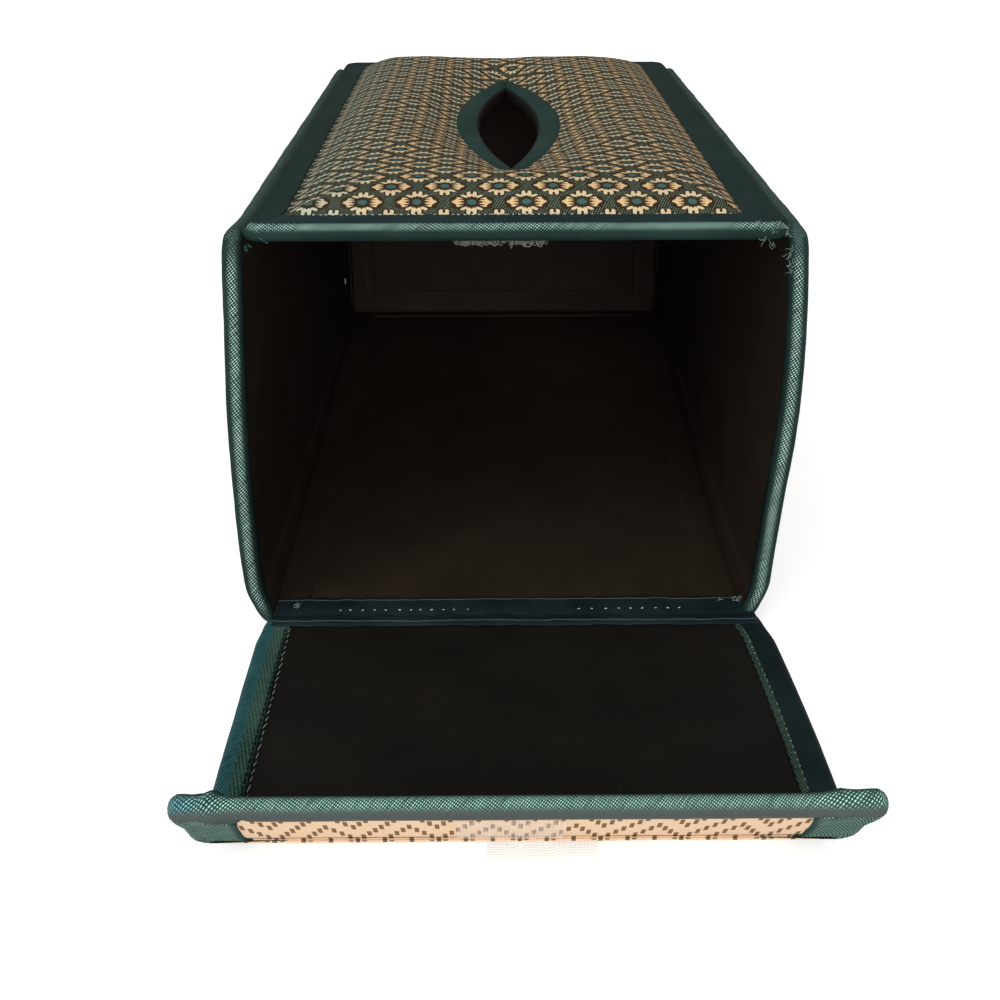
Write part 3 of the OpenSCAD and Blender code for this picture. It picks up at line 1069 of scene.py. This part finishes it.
# %% Cloth round the fold
def strip(name, line, half, weave_from, material, step=2.0, wrinkle=0.0):
    """A strip of cloth across the box: line is its shape from front to back as (y, z) points, in mm."""
    xs = steps(-half, half, step)
    points, flat = [], []
    run = weave_from
    last = None
    for y, z in line:
        if last:
            run += math.hypot(y - last[0], z - last[1])
        last = (y, z)
        for x in xs:
            drop = uneven(x, y * 2, weave_from, 9, 0.12) + uneven(x + y, y * 3, weave_from, 3.5, wrinkle)
            points.append(Vector((x, y, z + drop)) * MM)
            flat.append((x, run))
    piece = new_piece(name, points, grid_faces(len(xs), len(line)), flat, [material])
    return piece


def lip_point(y, z):
    """A point of the lip, y along it and z out of its inner face, as (y, z) in the box's frame."""
    p = lip.at(0, y, z) / MM
    return p.y, p.z


bend = [
    (-204.2, 0.12), (-207.7, 0.10), (-210.1, 0.2), (-211.5, 0.9), (-212.8, 2.0),
    lip_point(0.9, 2.75), lip_point(2.4, 2.9), lip_point(4.0, 2.9),
]
fold_cloth = strip("fold-peach-cloth", bend, 59.5, 0, PEACH, 1.5)
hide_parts("flap_crease_tape", "lip_crease_tape")
fold_cloth.data.materials.append(LIP_END)
PEACH_ENDS = 52.5  # mm from the middle; the bunched teal ends of the roll lie beyond
for face in fold_cloth.data.polygons:
    face.material_index = 1 if abs(face.center.x) > PEACH_ENDS * MM else 0
for name in ("lip-satin-binding", "lip-end-left", "lip-end-right"):
    for face in bpy.data.objects[name].data.polygons:
        if face.material_index == 2 and abs(face.center.x) > PEACH_ENDS * MM:
            face.material_index = 1
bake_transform(fold_cloth)
print("fold cloth over", len(bend), "lines")

# %% [markdown]
# ## The hinge tape
#
# A navy satin tape is stitched over the gap between the box's bottom and the flap. It is the hinge, with a
# short sag in its middle.

# %% Hinge tape
tape_line = [
    (-133.4, 3.9), (-133.2, 4.25), (-131.5, 4.3), (-129.6, 4.25), (-128.8, 4.1), (-128.25, 4.0),
    (-127.7, 4.1), (-126.9, 4.3), (-124.0, 4.35), (-120.5, 4.3), (-119.6, 4.2), (-119.4, 3.9),
]
tape = strip("hinge-tape", tape_line, 59.8, 50, TAPE, 1.0, 0.3)
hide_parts("box_hinge_tape", "flap_hinge_tape")
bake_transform(tape)

# %% [markdown]
# ## Stitches and threads
#
# Hand stitches are short beads of thread, each sunk a little at both ends, with small differences in length
# and slant. Loose ends of thread curl out where the strips cross at the corners.


# %% Stitches
def ring_of(points, middle, side, up, radius, sides):
    """A ring of points round a thread's middle."""
    for i in range(sides):
        turn = 2 * math.pi * i / sides
        points.append(middle + (side * math.cos(turn) + up * math.sin(turn)) * radius)


def tube_faces(faces, start, rings, sides, lids=True):
    """Walls between rings of points, and a lid at each end."""
    for j in range(rings - 1):
        for i in range(sides):
            p = start + j * sides + i
            q = start + j * sides + (i + 1) % sides
            faces.append((p, q, q + sides, p + sides))
    if lids:
        faces.append(tuple(start + i for i in reversed(range(sides))))
        faces.append(tuple(start + (rings - 1) * sides + i for i in range(sides)))


def bead(points, faces, a, b, width, sides=6):
    """A short length of thread from a to b, fat in the middle, in metres."""
    axis = (b - a).normalized()
    side = axis.orthogonal().normalized()
    up = axis.cross(side)
    start = len(points)
    for t, fat in ((0.0, 0.35), (0.2, 0.85), (0.5, 1.0), (0.8, 0.85), (1.0, 0.35)):
        ring_of(points, a.lerp(b, t), side, up, width * fat / 2, sides)
    tube_faces(faces, start, 5, sides)


def stitches(name, rows, material, body, long=1.5, gap=1.0, width=0.4, slant=0.0, seed=1):
    """Rows of stitches. Each row is (from, to) in mm."""
    dice = random.Random(seed)
    points, faces = [], []
    for start, end in rows:
        start, end = Vector(start) * MM, Vector(end) * MM
        length = (end - start).length
        way = (end - start).normalized()
        aside = way.cross(Vector((0, 0, 1)))
        aside = aside.normalized() if aside.length > 0.1 else Vector((1, 0, 0))
        at = dice.random() * gap * MM
        while at < length - long * MM:
            size = long * dice.uniform(0.75, 1.15) * MM
            lean = aside * (slant + dice.uniform(-0.15, 0.15)) * size
            a = start + way * at - lean / 2
            b = start + way * (at + size) + lean / 2
            bead(points, faces, a, b, width * MM)
            at += size + gap * dice.uniform(0.8, 1.3) * MM
    return new_piece(name, points, faces, None, [material], body)


tape_rows = [((-46, -126.3, 4.4), (-10, -126.2, 4.4)), ((14, -126.1, 4.4), (44, -125.9, 4.4))]
stitches("hinge-tape-stitches", tape_rows, WHITE_THREAD, "box", 0.6, 2.2, 0.3, 0, 2)
front_row = [((-46, -119.3, 102.3), (-20, -119.1, 102.3)), ((-14, -119.4, 102.3), (18, -119.2, 102.3))]
stitches("top-front-stitches", front_row, WHITE_THREAD, "box", 0.5, 1.0, 0.28, 0.5, 3)
left_row = [((-56.1, -135, 4.1), (-56.7, -208, 4.1))]
right_row = [((55.7, -136, 4.1), (57.6, -166, 4.1)), ((57.7, -167.5, 4.1), (58.3, -208, 4.1))]
stitches("flap-left-stitches", left_row, DARK_THREAD, "flap", 1.5, 0.7, 0.5, 0.15, 4)
edge_row = [((-55.1, -134, 4.0), (-55.4, -208, 4.0))]
stitches("flap-left-edge-stitches", edge_row, FRAYED_THREAD, "flap", 2.2, 0.8, 0.22, 0.25, 9)
stitches("flap-right-stitches", right_row, FRAYED_THREAD, "flap", 0.8, 1.6, 0.3, 0.2, 6)
seam = [((53.6, 123.25, 36), (54.3, 123.25, 8)), ((-55.5, 123.25, 33), (-55.0, 123.25, 9))]
stitches("lining-seams", seam, DUSTY_THREAD, "box", 2.0, 0.6, 0.22, 0.0, 5)
loose = [((-60.7, 90, 28), (-60.7, 90.4, 22)), ((-60.7, 91, 20.4), (-60.7, 91.2, 17.4))]
stitches("lining-loose-thread", loose, WHITE_THREAD, "box", 3.0, 0.6, 0.6, 0.0, 7)


# %% [markdown]
# Where two strips cross at a corner, cut ends of thread stick out. Each is a thin curl that wanders a
# little.

# %% Frayed ends
def curl(points, faces, way, width, sides=5):
    """A thread along a list of points in metres, thin at both ends."""
    start = len(points)
    last = len(way) - 1
    for j, middle in enumerate(way):
        ahead = (way[min(j + 1, last)] - way[max(j - 1, 0)]).normalized()
        side = ahead.orthogonal().normalized()
        fat = 0.4 + 0.6 * math.sin(math.pi * j / last)
        ring_of(points, middle, side, ahead.cross(side), width * fat / 2, sides)
    tube_faces(faces, start, len(way), sides)


def frayed(name, starts, material, body, seed, length=(0.6, 1.6), width=0.10, count=4):
    """Loose ends from each start: (place, direction) in mm."""
    dice = random.Random(seed)
    points, faces = [], []
    for place, way in starts * count:
        place = Vector(place) + Vector([dice.uniform(-reach, reach) for reach in (0.7, 0.1, 0.7)])
        way = (Vector(way).normalized() + Vector([dice.uniform(-0.6, 0.6) for _ in range(3)])).normalized()
        bend_to = Vector((dice.uniform(-1, 1), dice.uniform(-0.3, 0.3), dice.uniform(-1, 1)))
        size = dice.uniform(*length)
        line = []
        turns = dice.choice((-1, 1)) * dice.uniform(4, 10)
        loop = size * dice.uniform(0.12, 0.26)
        for i in range(15):
            t = i / 14
            wave = Vector((math.sin(t * turns), 0, math.cos(t * turns) - 1)) * loop
            line.append((place + way * size * t + bend_to * size * 0.5 * t * t + wave) * MM)
        curl(points, faces, line, width * MM)
    return new_piece(name, points, faces, None, [material], body)


right_corner = [
    ((54.5, -128.6, 101.0), (0.8, -0.3, 0.6)), ((55.2, -128.8, 99.0), (-0.9, -0.2, -0.5)),
    ((56.4, -129.0, 100.6), (0.3, -0.4, 0.8)), ((59.6, -129.4, 100.6), (0.2, -0.2, -1)),
    ((60.2, -129.2, 101.4), (-0.3, -0.2, -1)), ((53.0, -127.6, 102.4), (0.9, -0.1, 0.1)),
    ((56.0, -128.9, 98.4), (0.4, -0.2, -0.4)), ((58.0, -128.9, 101.8), (0.9, -0.2, -0.2)),
    ((60.8, -129.4, 97.2), (-0.3, 0, -1)), ((60.6, -129.2, 95.8), (-0.5, 0, -1)),
    ((60.9, -129.2, 94.2), (-0.2, -0.1, -1)), ((61.0, -129.0, 92.6), (-0.2, 0, -1)),
]
frayed("right-corner-threads", right_corner, FRAYED_THREAD, "box", 21)
left_corner = [
    ((-56.0, -128.8, 99.6), (0.7, -0.3, -0.6)), ((-57.0, -128.8, 101.2), (-0.7, -0.3, 0.5)),
    ((-59.4, -129.2, 98.4), (0.2, -0.2, -1)), ((-54.6, -128.4, 101.6), (1, -0.2, 0.2)),
]
frayed("left-corner-threads", left_corner, TEAL_THREAD, "box", 22, count=3)
knots = [
    ((-55.4, -124.8, 4.7), (0.5, 0.2, 0.4)), ((-54.6, -124.6, 4.9), (0.6, -0.3, 0.1)),
    ((51.5, -122.5, 4.8), (1, 0.2, 0.1)), ((56.6, -122.2, 4.9), (0.3, -0.8, 0.3)),
    ((57.0, -122.0, 4.9), (-0.6, -0.6, 0.4)), ((54.6, -122.2, 4.8), (0.8, -0.4, 0.2)),
]
frayed("hinge-tape-knots", knots, FRAYED_THREAD, "box", 23, (0.7, 1.5), 0.15, 3)
lint = []
dice = random.Random(31)
for _ in range(34):
    x = dice.uniform(-58, 58)
    z = dice.uniform(6, 92)
    lint.append(((x, 123.1, z), (dice.uniform(-1, 1), 0, dice.uniform(-1, 1))))
frayed("lining-lint", lint, DUSTY_THREAD, "box", 32, (0.3, 0.7), 0.2, 1)

# %% [markdown]
# ## The fastener
#
# A square of loop pile is sewn under the front of the top, and a strip of clear hook tape lies over the
# lip. When the flap shuts, the two meet.


# %% Loops and hooks
def loop_of_thread(points, faces, centre, way, size, width, sides=4, count=8):
    """A small arch of thread that stands on a surface. way is the arch's own up direction."""
    across = way.orthogonal().normalized()
    across.rotate(Quaternion(way, size * 40000))
    start = len(points)
    third = way.cross(across)
    for j in range(count + 1):
        turn = math.pi * j / count
        middle = centre + across * math.cos(turn) * size * 0.6 + way * math.sin(turn) * size
        outward = across * math.cos(turn) + way * math.sin(turn)
        ring_of(points, middle, outward, third, width / 2, sides)
    tube_faces(faces, start, count + 1, sides, lids=False)


low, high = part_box("loop_tape")
dice = random.Random(11)
points, faces = [], []
LOOPS = 260
for _ in range(LOOPS):
    x = dice.uniform(low[0], high[0])
    y = dice.uniform(low[1] - 0.0004, high[1])
    size = dice.uniform(0.9, 2.0) * MM
    way = Vector((dice.uniform(-0.9, 0.9), dice.uniform(-0.9, 0.4), -1)).normalized()
    loop_of_thread(points, faces, Vector((x, y, high[2] - 0.0002)), way, size, 0.00013)
loops = new_piece("loop-pile", points, faces, None, [PILE], "box")
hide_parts("loop_tape")

hook_xs = steps(-12.6, 7.6, 0.8)
hook_ys = [4.6 + i * 0.8 for i in range(20)]
points = [lip.at(x, y, 3.35 + uneven(x, y, 3, 5, 0.15)) for y in hook_ys for x in hook_xs]
faces = grid_faces(len(hook_xs), len(hook_ys))
hooks = new_piece("hook-mesh", points, faces, flat_map(hook_xs, hook_ys), [MESH], "lip")
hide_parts("hook_tape")

tail_xs = steps(-7.0, 15.0, 0.8)
tail_line = [(-211.0, 0.1), (-213.0, 0.15), (-214.6, 0.3), (-216.0, 0.35), (-217.2, 0.3), (-218.2, 0.15)]
points, flat = [], []
for y, z in tail_line:
    for x in tail_xs:
        place = Vector((x, y + uneven(x, 1, 1, 4, 0.5) + 0.08 * x, z + abs(uneven(x, y, 2, 5, 0.5))))
        points.append(place * MM)
        flat.append((x, y))
new_piece("hook-mesh-tail", points, grid_faces(len(tail_xs), len(tail_line)), flat, [MESH], "flap")
print("loops:", LOOPS)

# %% [markdown]
# ## Board and wadding
#
# The boards are hidden by the cloth. Those of the bowed sides, the bottom and the flap are made again here
# so that they follow their cloth; the others stay as they are in the CAD model.

# %% Inner layers
def slab(panel, layer, inset, low, high, material, dress=lambda x, y, z, e, run: (x, y, z)):
    """A closed board or pad that bows with its panel."""
    side = SIDES[panel]
    xs = steps(-side.half + inset, side.half - inset, 6)
    ys = steps(side.low + inset, side.high - inset, 4)
    points = [side.at(*dress(x, y, high, 0, "")) for y in ys for x in xs]
    points += [side.at(*dress(x, y, low, 0, "")) for y in ys for x in xs]
    count = len(xs) * len(ys)
    upper = grid_faces(len(xs), len(ys))
    flat = flat_map(xs, ys) * 2
    piece = new_piece(panel + "-" + layer, points, closed(upper, count), flat, [material], side.body)
    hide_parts(panel + "_" + layer)
    return piece


for panel in ("left", "right", "bottom"):
    inset = 1.5 if panel == "bottom" else 2.5
    slab(panel, "board", inset, 0.6, 2.6, BOARD)
    slab(panel, "pad", inset, 2.6, 3.1, WADDING)
slab("flap", "board", 1.8, 0.6, 2.6, BOARD, flap_flare)
slab("flap", "pad", 1.8, 2.6, 3.1, WADDING, flap_flare)
for name, node in frame["nodes"].items():
    layer = name.split("_")[-1]
    if layer in ("board", "pad"):
        node.data.materials.clear()
        node.data.materials.append(BOARD if layer == "board" else WADDING)

# %% [markdown]
# ## Light, floor and camera
#
# Soft light from above and in front, as by a window, and a weak fill. The white of the background comes
# from the floor and the world themselves for the camera alone, so no extra light falls on the box.

# %% Stage
points = [Vector((x, y, -0.00005)) for y in (-1.6, 4.0) for x in (-3.0, 3.0)]
floor = new_piece("floor", points, [(0, 1, 3, 2)], None, [])
white, m, shader, weave = new_material("Pale_floor", 0.9)
shader.inputs["Base Color"].default_value = (0.78, 0.78, 0.77, 1)
path = m.node("ShaderNodeLightPath")
glow = m.node("ShaderNodeEmission", Color=(1, 1, 1, 1))
seen = Sum(m.tree, path.outputs["Is Camera Ray"]).most(Sum(m.tree, path.outputs["Is Glossy Ray"]))
away = m.node("ShaderNodeVectorMath", operation="LENGTH")
m.link(m.node("ShaderNodeTexCoord").outputs["Object"], away.inputs[0])
level = Sum(m.tree, away.outputs["Value"]).ease(0.3, 1.0) * 0.42 + 0.6
m.link(seen * level, glow.inputs["Strength"])
both = m.node("ShaderNodeAddShader")
m.link(shader.outputs[0], both.inputs[0])
m.link(glow.outputs[0], both.inputs[1])
m.link(both.outputs[0], m.tree.nodes["Material Output"].inputs["Surface"])
floor.data.materials.append(white)
floor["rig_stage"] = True

world = bpy.data.worlds.new("Studio")
bpy.context.scene.world = world
world.use_nodes = True
m = Maker(world.node_tree)
path = m.node("ShaderNodeLightPath")
background = world.node_tree.nodes["Background"]
m.link(m.mix(path.outputs["Is Camera Ray"], (0.38, 0.385, 0.39), (1, 1, 1)), background.inputs["Color"])


def lamp(name, place, aim, size, watts, colour=(1, 1, 1)):
    """A square soft light that looks at a point."""
    data = bpy.data.lights.new(name, "AREA")
    data.shape = "SQUARE"
    data.size = size
    data.energy = watts
    data.color = colour
    light = bpy.data.objects.new(name, data)
    bpy.context.scene.collection.objects.link(light)
    light.location = place
    light.rotation_euler = (Vector(aim) - Vector(place)).to_track_quat("-Z", "Y").to_euler()


lamp("window-light", (-0.35, -0.75, 1.1), (0, -0.05, 0.03), 0.8, 6.2, (1.0, 0.985, 0.96))
lamp("front-light", (0.1, -1.3, 0.38), (0, -0.1, 0.04), 0.5, 8.5, (1.0, 0.99, 0.97))
lamp("fill-light", (-0.8, -0.9, 0.45), (0, -0.05, 0.05), 0.7, 3.2, (0.95, 0.97, 1.0))

camera_data = bpy.data.cameras.new("Camera")
camera_data.lens = 51.29
camera_data.sensor_width = 36
camera = bpy.data.objects.new("Camera", camera_data)
bpy.context.scene.collection.objects.link(camera)
camera.location = (-0.0061, -0.4381, 0.1786)
camera.rotation_euler = (math.radians(65.2), math.radians(0.1), math.radians(-0.5))
bpy.context.scene.camera = camera
bpy.context.scene.view_settings.view_transform = "Standard"
